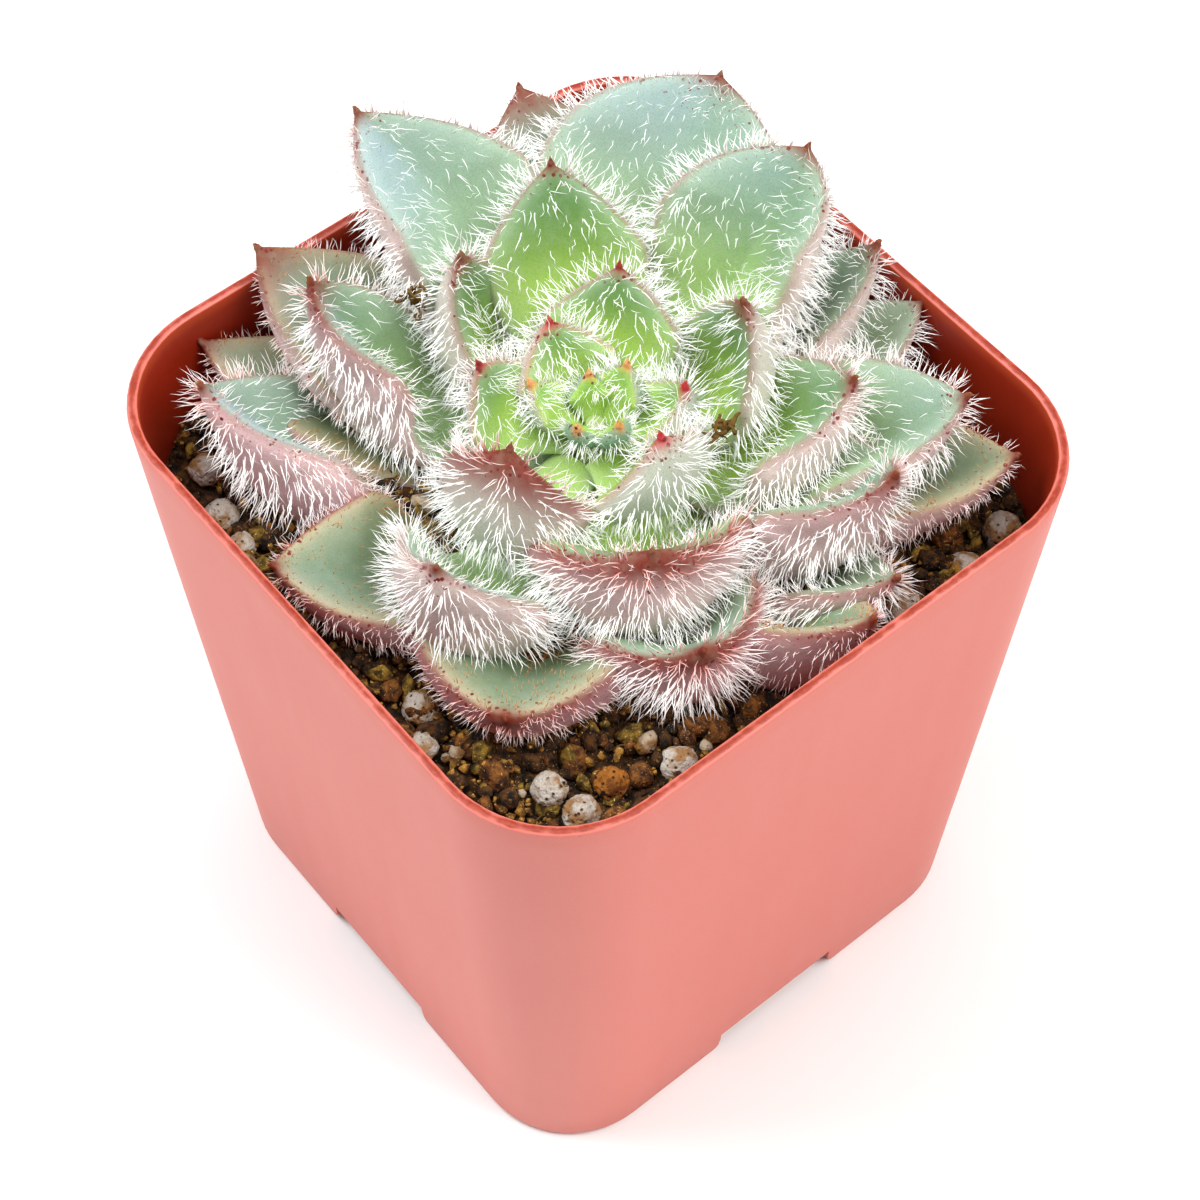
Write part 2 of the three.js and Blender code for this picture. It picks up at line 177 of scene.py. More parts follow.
# Colours of the skin, as a screen shows them. The glow and shade colours are painted light and painted
# shade at leaf bases, and the bloom colour also serves as a painted sheen.
LEAF_COLOURS = {
    "centre": (138, 188, 66), "green_with_painted_glow": (156, 192, 78), "green": (86, 132, 58),
    "teal": (122, 150, 124), "bloom_and_sheen": (166, 188, 198), "old": (114, 130, 100),
    "shade": (94, 116, 68), "cream": (206, 176, 146), "pale": (186, 196, 184),
    "pale_under": (208, 214, 198), "mauve": (240, 198, 208), "blush": (136, 68, 70),
    "brown": (122, 40, 24), "crimson": (186, 20, 50), "peach": (226, 150, 96),
}

# Hairs: how many grow on a square millimetre, how long and thick they are, and how they lie.
HAIRS_UPPER = (1.7, 1.0)
HAIRS_UNDER = 2.35
HAIRS_WORN = 2.1
HAIRS_MARGIN = 4.8
HAIRS_FROM = 0.2
HAIR_TRIALS = 60000
HAIR_LENGTH_UPPER = (2.0, 1.35)
HAIR_LENGTH_UNDER = 2.2
HAIR_LENGTH_MARGIN = (2.35, 1.7)
STUBBLE_LENGTHS = (0.5, 0.95, 1.1)
HAIR_RADIUS = 0.07
HAIR_TIP_SHARE = 0.32
HAIR_COMBING = (1.4, 0.7)
HAIR_STRAY = (0.3, 0.1)
HAIR_BOW = 0.22
HAIR_CURL = 0.05
HAIR_SAG = 0.05
ROOT_DEPTH = 0.05
RAY_START = 0.12
SHORTEST_HAIR = 0.45
BARE_TIP = 0.55
BARE_BASES = (0.44, 0.14)
HAIR_SIDES = 3
HAIR_HEIGHTS = (0, 0.3, 0.65)
HAIR_TONES = 8


def clock(degrees):
    """A direction on the ground from a compass angle."""
    return np.array([math.cos(math.radians(degrees)), math.sin(math.radians(degrees)), 0])


def smoothstep(value):
    t = np.clip(value, 0, 1)
    return t * t * (3 - 2 * t)


def lerp(first, second, share):
    return first + (second - first) * share


def unit(vectors):
    return vectors / np.maximum(np.linalg.norm(vectors, axis=1), 1e-9)[:, None]


def circles(side, other, corners):
    """Corners of unit circles, each in the plane of two directions."""
    turns = (np.arange(corners) / corners * 2 * math.pi)[:, None]
    return side[:, None] * np.cos(turns) + other[:, None] * np.sin(turns)


def blend(first, second, share):
    """Colours between two, by one share or one for each point."""
    share = np.asarray(share, dtype=float)
    return lerp(first, second, share[:, None] if share.ndim else share)


def screen(red, green, blue):
    """A linear colour from the 0 to 255 values that a screen shows."""
    shares = np.array([red, green, blue]) / 255
    linear = np.where(shares <= 0.04045, shares / 12.92, ((shares + 0.055) / 1.055) ** 2.4)
    return (*linear.tolist(), 1.0)


# ---- meshes


def link(name, data):
    """A new object in the scene, made of the data."""
    thing = bpy.data.objects.new(name, data)
    bpy.context.scene.collection.objects.link(thing)
    return thing


def mesh_piece(name, points, faces, finish, slot, smooth=True):
    """A mesh from points in millimetres and an array of faces that all have as many corners."""
    faces = np.asarray(faces, dtype=np.int32)
    mesh = bpy.data.meshes.new(name)
    mesh.vertices.add(len(points))
    mesh.vertices.foreach_set("co", (np.asarray(points, dtype=np.float32) * MM).ravel())
    mesh.loops.add(faces.size)
    mesh.loops.foreach_set("vertex_index", faces.ravel())
    mesh.polygons.add(len(faces))
    mesh.polygons.foreach_set("loop_start", np.arange(0, faces.size, faces.shape[1], dtype=np.int32))
    mesh.update(calc_edges=True)
    mesh.validate()
    if smooth:
        mesh.shade_smooth()
    mesh.materials.append(finish)
    piece = link(name, mesh)
    if slot:
        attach(piece, "root")
    return piece


def ring_faces(rings, sides):
    """Quads over rings of points, each ring as many points, in outward order."""
    ring, side = np.meshgrid(np.arange(rings - 1), np.arange(sides), indexing="ij")
    following = (side + 1) % sides
    first, second = ring * sides + side, ring * sides + following
    return np.stack([first, first + sides, second + sides, second], axis=-1).reshape(-1, 4)


def add_attribute(piece, name, values, kind="FLOAT", field="value"):
    attribute = piece.data.attributes.new(name, kind, "POINT")
    attribute.data.foreach_set(field, np.asarray(values, dtype=np.float32).ravel())


# ---- materials


class Finish:
    """A material whose nodes are made with short calls. Texture scales are in waves per mm."""

    def __init__(self, name, **constants):
        self.material = bpy.data.materials.new(name)
        self.material.use_nodes = True
        self.tree = self.material.node_tree
        self.shader = self.tree.nodes["Principled BSDF"]
        for socket, value in constants.items():
            self.shader.inputs[socket.replace("_", " ")].default_value = value
        self.place = self.add("ShaderNodeTexCoord").outputs["Object"]

    def add(self, kind, *values, **settings):
        """A node with its settings, whose first inputs take the values: numbers, colours or links."""
        node = self.tree.nodes.new(kind)
        for setting, value in settings.items():
            setattr(node, setting, value)
        for socket, value in zip(node.inputs, values):
            self.give(socket, value)
        return node

    def feed(self, node, **values):
        for socket, value in values.items():
            self.give(node.inputs[socket], value)

    def give(self, socket, value):
        if isinstance(value, bpy.types.NodeSocket):
            self.tree.links.new(value, socket)
        elif value is not None:
            socket.default_value = value

    def math(self, operation, *values):
        return self.add("ShaderNodeMath", *values, operation=operation).outputs[0]

    def noise(self, scale, detail=3, stretch=(1, 1, 1)):
        moved = self.add("ShaderNodeMapping", self.place, None, None, stretch).outputs[0]
        texture = self.add("ShaderNodeTexNoise")
        self.feed(texture, Vector=moved, Scale=scale / MM, Detail=detail)
        return texture.outputs[0]

    def cells(self, scale):
        texture = self.add("ShaderNodeTexVoronoi")
        self.feed(texture, Vector=self.place, Scale=scale / MM)
        return texture.outputs["Distance"]

    def between(self, value, low, high, first=0, second=1):
        """The value's place between low and high, smoothed, as a number from first to second."""
        node = self.add("ShaderNodeMapRange", value, low, high, first, second)
        node.interpolation_type = "SMOOTHSTEP"
        return node.outputs[0]

    def mix(self, share, first, second):
        """A blend of two links or colours. A colour has the 0 to 255 values that a screen shows."""
        node = self.add("ShaderNodeMix", data_type="RGBA")
        self.give(node.inputs["Factor"], share)
        for socket, colour in zip(node.inputs[6:8], (first, second)):
            self.give(socket, screen(*colour) if isinstance(colour, tuple) else colour)
        return node.outputs[2]

    def attribute(self, name, output="Fac"):
        return self.add("ShaderNodeAttribute", attribute_name=name).outputs[output]

    def height(self):
        """How high a point is, in millimetres."""
        parts = self.add("ShaderNodeSeparateXYZ", self.place)
        return self.math("DIVIDE", parts.outputs["Z"], MM)

    def colour(self, value):
        self.give(self.shader.inputs["Base Color"], value)

    def roughness(self, value, low, high, top=0.7):
        self.feed(self.shader, Roughness=self.between(value, 0.3, top, low, high))

    def bump(self, height, distance, strength=1.0):
        node = self.add("ShaderNodeBump")
        self.feed(node, Strength=strength, Distance=distance * MM, Height=height)
        self.feed(self.shader, Normal=node.outputs[0])


def pot_outer_finish():
    """Matt salmon plastic with a rust-red trimmed edge and small flecks below it."""
    finish = Finish("pot_outer", IOR=1.46)
    cloud = finish.noise(0.05, 2)
    streaks = finish.noise(0.35, 3, (1, 1, 0.06))
    grain = finish.noise(6, 2)
    body = finish.mix(cloud, (212, 107, 93), (217, 119, 105))
    body = finish.mix(finish.between(streaks, 0.35, 0.75, 0, 0.05), body, (214, 128, 117))
    body = finish.mix(finish.between(grain, 0.55, 0.8, 0, 0.25), body, (218, 140, 129))
    height = finish.height()
    ragged = finish.math("MULTIPLY_ADD", finish.noise(0.7, 3), 0.2, height)
    edge = finish.between(ragged, POT_HEIGHT - 0.1, POT_HEIGHT)
    flecks = finish.between(finish.cells(1.1), 0.12, 0.05)
    near_edge = finish.between(height, POT_HEIGHT - 4, POT_HEIGHT - 0.5)
    marks = finish.math("MULTIPLY", flecks, finish.math("MULTIPLY", near_edge, 0.5))
    body = finish.mix(marks, body, (180, 88, 74))
    worn = finish.between(finish.noise(2.2, 4), 0.45, 0.65)
    rim = finish.mix(worn, (146, 42, 18), (160, 58, 30))
    finish.colour(finish.mix(edge, body, rim))
    finish.roughness(streaks, 0.47, 0.51, 0.8)
    finish.bump(finish.math("ADD", grain, finish.noise(0.8, 2)), 0.02, 0.5)
    return finish.material


def pot_inner_finish():
    """The deeper red-brown of the inside, with a soft sheen, painted light in a band just below the rim
    and splashes of dried soil.
    """
    finish = Finish("pot_inner", Specular_IOR_Level=0.3)
    cloud = finish.noise(0.12, 3)
    body = finish.mix(cloud, (134, 30, 12), (158, 46, 22))
    height = finish.height()
    # Painted light: the inner wall is lighter in a band just below the rim.
    lit = finish.between(height, POT_HEIGHT - 1.6, POT_HEIGHT - 0.3)
    body = finish.mix(lit, body, (172, 62, 30))
    splash = finish.between(finish.noise(1.3, 5), 0.6, 0.7, 0, 0.7)
    low = finish.between(height, SOIL_LEVEL + 5, SOIL_LEVEL)
    body = finish.mix(finish.math("MULTIPLY", splash, low), body, (60, 38, 24))
    finish.colour(body)
    finish.roughness(cloud, 0.3, 0.45)
    finish.bump(finish.noise(1.2, 3), 0.03, 0.5)
    return finish.material


def leaf_finish():
    """Fleshy, waxy leaf skin: mottled pale, with crimson dots along the margins, on a tint that holds
    painted sheen, glow and shade.
    """
    finish = Finish("leaf_skin", Subsurface_Weight=0.25, Subsurface_Scale=0.0025, IOR=1.4)
    finish.shader.inputs["Subsurface Radius"].default_value = (0.8, 1.0, 0.4)
    tint = finish.attribute("tint", "Color")
    red = finish.attribute("red")
    mottle = finish.noise(1.1, 4)
    grain = finish.noise(9, 2)
    body = finish.mix(finish.between(mottle, 0.4, 0.75, 0.0, 0.16), tint, (170, 184, 166))
    body = finish.mix(finish.between(grain, 0.4, 0.7, 0.0, 0.25), body, (74, 104, 58))
    dots = finish.cells(1.9)
    reach = finish.math("MULTIPLY", red, 0.34)
    dot = finish.between(finish.math("SUBTRACT", reach, dots), -0.06, 0.06)
    patchy = finish.between(finish.noise(0.9, 3), 0.35, 0.6)
    body = finish.mix(finish.math("MULTIPLY", dot, patchy), body, (112, 30, 30))
    finish.colour(body)
    finish.roughness(mottle, 0.5, 0.68)
    finish.bump(finish.math("ADD", finish.math("MULTIPLY", grain, 0.4), mottle), 0.08, 0.6)
    return finish.material


def hair_finish():
    """Glassy white hairs, pink where they leave a red margin."""
    finish = Finish("leaf_hair", Roughness=0.45, IOR=1.5, Subsurface_Weight=0.0)
    tone = finish.attribute("tone")
    height = finish.attribute("height")
    root = finish.mix(tone, (250, 252, 246), (222, 120, 104))
    reach = finish.math("MULTIPLY", tone, 0.5)
    white = finish.between(finish.math("SUBTRACT", height, reach), -0.3, 0.35)
    fresh = finish.mix(white, root, finish.mix(tone, (255, 255, 253), (255, 236, 232)))
    withered = finish.mix(height, (168, 84, 30), (226, 176, 120))
    finish.colour(finish.mix(finish.between(tone, 0.9, 0.95), fresh, withered))
    return finish.material


def soil_finish(name, dark, light, speck):
    """Crumbly peat: dark with lighter grains."""
    finish = Finish(name, Specular_IOR_Level=0.3)
    lumps = finish.noise(1.4, 5)
    body = finish.mix(finish.between(lumps, 0.35, 0.7), dark, light)
    specks = finish.between(finish.noise(5, 3), 0.62, 0.72)
    finish.colour(finish.mix(specks, body, speck))
    finish.roughness(lumps, 0.75, 1.0)
    finish.bump(finish.noise(3, 6), 0.35)
    return finish.material


def pumice_finish(name, pale, stain, pit):
    """A porous granule: chalky, stained with soil, pitted."""
    finish = Finish(name, Specular_IOR_Level=0.35)
    cloud = finish.noise(0.7, 4)
    body = finish.mix(finish.between(cloud, 0.44, 0.62), pale, stain)
    holes = finish.between(finish.cells(1.7), 0.26, 0.1)
    rare = finish.between(finish.noise(1.1, 2), 0.38, 0.5)
    pits = finish.math("MULTIPLY", holes, rare)
    finish.colour(finish.mix(pits, body, pit))
    finish.roughness(cloud, 0.8, 0.95)
    relief = finish.math("SUBTRACT", finish.noise(6, 4), finish.math("MULTIPLY", pits, 1.5))
    finish.bump(relief, 0.15)
    return finish.material


def plain_finish(name, gloss, texture, colours, rough, relief=0):
    """Two colours mixed by one texture, which also sets how rough and uneven the surface is."""
    finish = Finish(name, Specular_IOR_Level=gloss)
    shade = finish.noise(*texture)
    finish.colour(finish.mix(shade, *colours))
    finish.roughness(shade, *rough)
    if relief:
        finish.bump(shade, relief)
    return finish.material


# ---- camera, light, floor


def aim(thing, place, target):
    thing.location = place
    thing.rotation_euler = (Vector(target) - Vector(place)).to_track_quat("-Z", "Y").to_euler()


def make_camera():
    lens = bpy.data.cameras.new("camera")
    lens.lens = CAMERA_LENS
    lens.sensor_width = 36
    lens.clip_start = 0.01
    camera = link("camera", lens)
    aim(camera, CAMERA_PLACE, CAMERA_AIM)
    bpy.context.scene.camera = camera


def make_light(name, place, size, power, colour):
    lamp = bpy.data.lights.new(name, "AREA")
    lamp.shape = "DISK"
    lamp.size = size
    lamp.energy = power
    lamp.color = colour
    aim(link(name, lamp), place, LIGHT_AIM)


def make_studio():
    scene = bpy.context.scene
    scene.view_settings.view_transform = "Standard"
    world = bpy.data.worlds.new("studio")
    world.use_nodes = True
    background = world.node_tree.nodes["Background"]
    background.inputs["Color"].default_value = (0.96, 0.98, 1.0, 1)
    background.inputs["Strength"].default_value = 0.28
    scene.world = world
    make_light("key_left", (-0.38, -0.30, 0.62), 0.5, 4.7, (0.95, 0.98, 1.0))
    make_light("key_right", (0.42, 0.26, 0.62), 0.5, 4.1, (1.0, 0.99, 0.97))
    make_light("top", (0.0, 0.05, 0.70), 0.6, 2.6, (1.0, 1.0, 1.0))
    side = 1500
    corners = [(-side, -side, 0), (side, -side, 0), (side, side, 0), (-side, side, 0)]
    paper = plain_finish("floor", 0.2, (0.01, 2), [(243, 243, 242), (247, 247, 246)], (0.7, 0.8))
    floor = mesh_piece("floor", corners, [(0, 1, 2, 3)], paper, None, smooth=False)


# ---- pot


def pot_ring(height, inset):
    """The pot's rounded square section at a height, moved in by an inset, anticlockwise."""
    share = height / POT_HEIGHT
    radius = lerp(POT_BASE_RADIUS, POT_TOP_RADIUS, share)
    middle = lerp(POT_BASE_SIDE, POT_TOP_SIDE, share) / 2 - radius
    bow = SIDE_BOW * math.sin(math.pi * share)
    ring = []
    for corner, (right, back) in enumerate([(1, 1), (-1, 1), (-1, -1), (1, -1)]):
        for step in range(CORNER_STEPS + 1):
            angle = (corner + step / CORNER_STEPS) * math.pi / 2
            x = right * middle + (radius - inset) * math.cos(angle)
            y = back * middle + (radius - inset) * math.sin(angle)
            ring.append((x, y, height))
        heading = (corner + 1) * math.pi / 2
        normal = np.array([math.cos(heading), math.sin(heading)])
        tangent = np.array([-normal[1], normal[0]])
        for step in range(1, SIDE_STEPS):
            along = (2 * step / SIDE_STEPS - 1) * middle
            swell = bow * (1 - (along / middle) ** 2)
            x, y = normal * (middle + radius - inset + swell) + tangent * along
            ring.append((x, y, height))
    return ring


def closed_loft(rings, first_pole, last_pole):
    """Points and faces of a closed skin: anticlockwise rings from low to high, ends fanned."""
    sides = len(rings[0])
    points = [point for ring in rings for point in ring] + [first_pole, last_pole]
    quads = ring_faces(len(rings), sides)[:, ::-1].tolist()
    first, last = len(points) - 2, len(points) - 1
    top = (len(rings) - 1) * sides
    fans = []
    for side in range(sides):
        following = (side + 1) % sides
        fans.append([first, following, side])
        fans.append([last, top + side, top + following])
    return points, quads + fans


def solid_object(name, points, faces, material):
    mesh = bpy.data.meshes.new(name)
    mesh.from_pydata([Vector(point) * MM for point in points], [], faces)
    mesh.materials.append(material)
    return link(name, mesh)


def cut(piece, cutter):
    """Takes the cutter's shape out of the piece and removes the cutter."""
    modifier = piece.modifiers.new("cut", "BOOLEAN")
    modifier.object = cutter
    modifier.solver = "EXACT"
    modifier.material_mode = "TRANSFER"
    with bpy.context.temp_override(object=piece, active_object=piece, selected_objects=[piece]):
        bpy.ops.object.modifier_apply(modifier=modifier.name)
    bpy.data.objects.remove(cutter)


def channel_block(turned):
    """What is cut away for a channel under the pot, along x or, when turned, along y."""
    half = CHANNEL_WIDTH / 2
    profile = [(CHANNEL_FLARE[0][0], -1), *CHANNEL_FLARE, (0, CHANNEL_HEIGHT)]
    right = [(half + flare, height) for flare, height in profile]
    outline = right + [(-side, height) for side, height in reversed(right)]
    rings, poles = [], []
    for end in (-POT_TOP_SIDE, POT_TOP_SIDE):
        rings.append([(-side, end, height) if turned else (end, side, height) for side, height in outline])
        poles.append((0, end, 1) if turned else (end, 0, 1))
    return closed_loft(rings, *poles)


def make_pot():
    outer = pot_outer_finish()
    inner = pot_inner_finish()
    lip = WALL / 2
    rings = []
    for step in range(5):
        angle = step / 4 * math.pi / 2
        rings.append(pot_ring(BASE_EDGE * (1 - math.cos(angle)), BASE_EDGE * (1 - math.sin(angle))))
    for height in (*OUTER_LEVELS, POT_HEIGHT - lip):
        rings.append(pot_ring(height, 0))
    for step in range(1, 7):
        angle = step / 6 * math.pi
        height = POT_HEIGHT - lip + lip * LIP_FLATNESS * math.sin(angle)
        rings.append(pot_ring(height, lip * (1 - math.cos(angle))))
    rim_rings = len(rings)
    for height in INNER_LEVELS:
        rings.append(pot_ring(height, WALL))
    sides = len(rings[0])
    points, faces = closed_loft(rings, (0, 0, 0), (0, 0, INNER_FLOOR))
    pot = solid_object("pot_shell", points, faces, outer)
    pot.data.materials.append(inner)
    first_inner = (rim_rings - 2) * sides
    quads = (len(rings) - 1) * sides
    for index, polygon in enumerate(pot.data.polygons):
        inner_wall = first_inner <= index < quads
        inner_floor = index > quads and (index - quads) % 2 == 1
        polygon.material_index = int(inner_wall or inner_floor)
    for turned in (False, True):
        points, faces = channel_block(turned)
        cut(pot, solid_object("channel", points, faces, outer))
    turns = np.arange(DRILL_SIDES) / DRILL_SIDES * 2 * math.pi
    for centre in np.array([(0, 0), (1, 0), (0, 1), (-1, 0), (0, -1)]) * DRAIN_SPACING:
        circle = centre + DRAIN_RADIUS * np.column_stack([np.cos(turns), np.sin(turns)])
        drill = [[(x, y, z) for x, y in circle] for z in DRILL_ENDS]
        points, faces = closed_loft(drill, *[(*centre, z) for z in DRILL_ENDS])
        cut(pot, solid_object("drill", points, faces, outer))
    pot.data.shade_smooth()
    pot.data.set_sharp_from_angle(angle=math.radians(32))
    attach(pot, "root")
    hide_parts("pot")
    return pot


# ---- leaves


def width_share(along, age, blunt=None):
    """Half the width at a fraction of the length: young leaves are pointed, old ones shouldered."""
    mature = smoothstep(age / MATURE)
    shoulder = lerp(*LEAF_SHOULDERS, mature)
    base = lerp(*LEAF_BASE_WIDTHS, mature)
    rising = base + (1 - base) * smoothstep(along / shoulder)
    roundness = blunt or lerp(*TIP_ROUNDNESS, mature)
    falling = 1 - np.clip((along - shoulder) / (1 - shoulder), 0, 1) ** roundness
    return np.where(along < shoulder, rising, falling)


def thickness_share(along):
    rising = LEAF_BASE_THICKNESS + (1 - LEAF_BASE_THICKNESS) * smoothstep(along / LEAF_THICKEST)
    falling = 1 - np.clip((along - LEAF_THICKEST) / (1.02 - LEAF_THICKEST), 0, 1) ** 2.4
    return np.where(along < LEAF_THICKEST, rising, falling)


class Leaf:
    """A leaf's surface, worked out from its row as in the CAD model, with a fine point at the tip."""

    def __init__(self, order, row):
        self.compass, reach, height, self.width, curl, fold, roll, self.sweep = row
        self.number = order + 1
        self.age = order / (len(LEAVES) - 1)
        self.thickness = 0.9 + 0.22 * self.width
        self.fold = math.radians(fold)
        self.roll = math.radians(roll)
        self.outward = clock(self.compass)
        self.sideways = clock(self.compass - 90)
        self.random = np.random.default_rng(SEED + order)
        self.waves = self.random.uniform(0, 2 * math.pi, 4)
        base = np.array([
            lerp(NEWEST_BASE[0], OLDEST_BASE[0], self.age ** 0.6),
            lerp(NEWEST_BASE[1], OLDEST_BASE[1], self.age),
        ])
        self.share = np.linspace(0, 1, MIDRIB_STEPS + 1)
        slopes = math.radians(curl) * smoothstep((self.share - BEND_START) / (BEND_END - BEND_START))
        middle = (slopes[1:] + slopes[:-1]) / 2
        steps = np.stack([np.cos(middle), np.sin(middle)], axis=1)
        path = np.vstack([np.zeros((1, 2)), np.cumsum(steps, axis=0)])
        span = np.array([reach, height]) - base
        turn = math.atan2(span[1], span[0]) - math.atan2(path[-1, 1], path[-1, 0])
        size = np.linalg.norm(span) / np.linalg.norm(path[-1])
        across = np.array([-path[:, 1], path[:, 0]]).T
        self.path = (path * math.cos(turn) + across * math.sin(turn)) * size + base
        self.slopes = slopes + turn
        self.length = size * MIDRIB_STEPS
        spike = lerp(*SPIKE_LENGTHS, self.age) * min(1, 0.5 + self.width / 14)
        self.end = 1 + spike / self.length

    def share_wide(self, along):
        return width_share(np.minimum(along, 1), self.age, BLUNT_TIPS.get(self.number))

    def surface(self, along, angle):
        """Points of the skin, at fractions of the length and angles around the section."""
        inside = np.minimum(along, 1)
        beyond = (along - inside) * self.length
        slope = np.interp(inside, self.share, self.slopes)
        out = np.interp(inside, self.share, self.path[:, 0]) + beyond * np.cos(slope)
        up = np.interp(inside, self.share, self.path[:, 1]) + beyond * np.sin(slope)
        point = SPIKE_RADIUS * np.clip((self.end - along) / (self.end - 1), 0.08, 1)
        point = np.where(along > 0.9, point, 0)
        across = np.cos(angle)
        wave = 1 + EDGE_WAVE * np.sin(9 * along + self.waves[0] + 2 * across)
        half_width = np.maximum(self.width / 2 * self.share_wide(inside) * wave, point)
        half_thickness = np.maximum(self.thickness / 2 * thickness_share(inside), point)
        opening = lerp(BASE_OPENING, 1, np.minimum(1, inside / LEAF_THICKEST))
        bend = self.fold * opening * np.minimum(1, 1.1 * self.share_wide(inside))
        arm = np.sqrt(across ** 2 + CREASE ** 2)
        x = half_width * np.cos(bend) * across
        y = half_width * np.sin(bend) * (arm - CREASE) / CREASE_RISE
        ripple = np.sin(7 * along + self.waves[1] + 1.5 * across) * np.abs(across) ** 3
        y = y + EDGE_RIPPLE * self.width * ripple * self.share_wide(inside)
        tilt = np.arctan2(np.sin(bend) * (across / arm) / CREASE_RISE, np.cos(bend))
        share = np.where(np.sin(angle) > 0, UPPER_SHARE, LOWER_SHARE)
        share = np.where(inside < 1, share, 1)
        offset = half_thickness * share * np.sin(angle)
        x = x - np.sin(tilt) * offset
        y = y + np.cos(tilt) * offset
        lean = self.roll * np.minimum(1, inside / ROLL_END)
        side = x * np.cos(lean) - y * np.sin(lean)
        face = x * np.sin(lean) + y * np.cos(lean)
        veer = np.arctan2(self.sweep * math.pi * np.cos(math.pi * inside), self.length)
        back = face * np.sin(slope)
        level = out - back * np.cos(veer) - side * np.sin(veer)
        aside = self.sweep * np.sin(math.pi * inside) + side * np.cos(veer) - back * np.sin(veer)
        rise = up + face * np.cos(slope)
        upward = np.array([0, 0, 1])
        return level[:, None] * self.outward + rise[:, None] * upward + aside[:, None] * self.sideways

    def directions(self, along, angle):
        """Outward normals, forward and marginward directions, and the area that a unit covers."""
        step = 1e-3
        forward = (self.surface(along + step, angle) - self.surface(along - step, angle)) / (2 * step)
        around = (self.surface(along, angle + step) - self.surface(along, angle - step)) / (2 * step)
        normal = np.cross(forward, around)
        area = np.linalg.norm(normal, axis=1)
        normal = unit(normal)
        towards_margin = -np.sign(np.cos(angle) * np.sin(angle))[:, None] * around
        return normal, unit(forward), unit(towards_margin), area

    def slot(self):
        if self.number <= INNER_LEAVES:
            return "leaf_inner"
        return "leaf_middle" if self.number <= MIDDLE_LEAVES else "leaf_outer"

    def faces(self, compass):
        """1 for a leaf that points to the compass angle, 0 for one that points away from it."""
        return 0.5 + 0.5 * math.cos(math.radians(self.compass - compass))

    def sunned(self):
        """How much sun the leaf has had."""
        if self.number in SHADED_LEAVES:
            return 0.4
        return (0.25 + 0.75 * self.faces(SUN_SIDE)) * min(1, 0.3 + 1.6 * self.age)

    def worn(self):
        """1 for one of the weathered leaves, with short stubbly hairs, and 0 for the others."""
        return float(self.number in WORN_LEAVES)

    def distances(self, along, angle, narrowest=0):
        """How far points of the skin are from the tip and from the nearer margin."""
        half_width = np.maximum(self.width / 2 * self.share_wide(along), narrowest)
        return np.maximum(0, 1 - along) * self.length, half_width * (1 - np.abs(np.cos(angle)))

    def redness(self, along, angle):
        """How red the skin is, from 0 to 1: at the tip, along the margins and under sunny tips."""
        from_tip, from_margin = self.distances(along, angle, 0.2)
        tip_size = 0.5 + 0.11 * self.width
        tip = np.exp(-(from_tip / tip_size) ** 2)
        margin = np.exp(-from_margin / (0.12 + 0.02 * self.width)) * smoothstep((along - 0.45) / 0.3)
        under = smoothstep(0.5 - 0.5 * np.sin(angle) * 3)
        spread = np.exp(-from_tip / (0.3 * self.length)) * under * self.sunned()
        return np.clip(tip + (0.35 + 0.5 * self.sunned()) * margin + 0.3 * spread, 0, 1)

    def tints(self, along, angle):
        """The smooth colour of the skin, which the material mottles."""
        colour = {name: np.array(screen(*value)[:3]) for name, value in LEAF_COLOURS.items()}
        sun = self.sunned()
        mature = smoothstep(self.age / 0.3)
        grown = smoothstep((self.age - 0.36) / 0.2)
        aged = smoothstep((self.age - 0.68) / 0.1)
        # Painted sheen: a leaf that points towards the cool light's side, and most of all its half nearer
        # to that light, is painted pale and bluish.
        left = self.faces(PAINTED_SHEEN_SIDE)
        left_half = smoothstep(0.5 - 1.4 * np.cos(angle))
        from_tip, from_margin = self.distances(along, angle)

        # Painted light and shade: the bases of young leaves are painted with a glow, and those of old
        # leaves with shade.
        base = blend(colour["green_with_painted_glow"], colour["shade"], smoothstep((self.age - 0.55) / 0.3))
        # Painted sheen on the bases of grown leaves that face the cool light.
        base = blend(base, colour["bloom_and_sheen"], 0.5 * left * grown * (1 - aged))
        young_tip = blend(colour["centre"], colour["green"], mature)
        old_tip = blend(colour["teal"], colour["old"], smoothstep((self.age - 0.7) / 0.3))
        # Painted sheen on the tips, strongest on the half nearer the cool light.
        bloom_and_sheen = left * (0.25 + 0.6 * left_half) * (1 - 0.8 * aged)
        old_tip = blend(old_tip, colour["bloom_and_sheen"], bloom_and_sheen)
        tip = blend(young_tip, old_tip, grown)
        upper = blend(base, tip, smoothstep((along - 0.5) / 0.42))
        worn = self.worn()
        paling = blend(colour["pale"], colour["cream"], worn)
        upper = blend(upper, paling, lerp(0.4, 0.65, worn) * np.exp(-from_margin / 1.1) * mature)

        mauve_share = 0.2 + 0.8 * sun * smoothstep((self.age - 0.3) / 0.2)
        under = blend(colour["pale_under"], colour["mauve"], mauve_share)
        band = np.exp(-((from_margin + 0.25 * from_tip) / 3.4) ** 1.5)
        flush = BLUSHES.get(self.number, USUAL_BLUSH)
        under = blend(under, colour["blush"], np.clip(1.15 * flush * band, 0, 1))
        young_under = blend(colour["green"], colour["bloom_and_sheen"], 0.35)
        under = blend(young_under, under, mature)
        skin = blend(under, upper, smoothstep(0.5 + 2.5 * np.sin(angle)))

        deep = blend(colour["crimson"], colour["brown"], smoothstep((self.age - 0.2) / 0.1))
        if self.number <= NEWEST_BUDS:
            deep = colour["peach"]
        patch = np.exp(-(from_tip / SCARS.get(self.number, 0.3 + 0.03 * self.width)) ** 2)
        rim = np.exp(-(from_margin / 0.16) ** 2) * smoothstep((along - 0.4) / 0.3)
        skin = blend(skin, deep, 0.45 * rim * mature)
        return blend(skin, deep, patch)

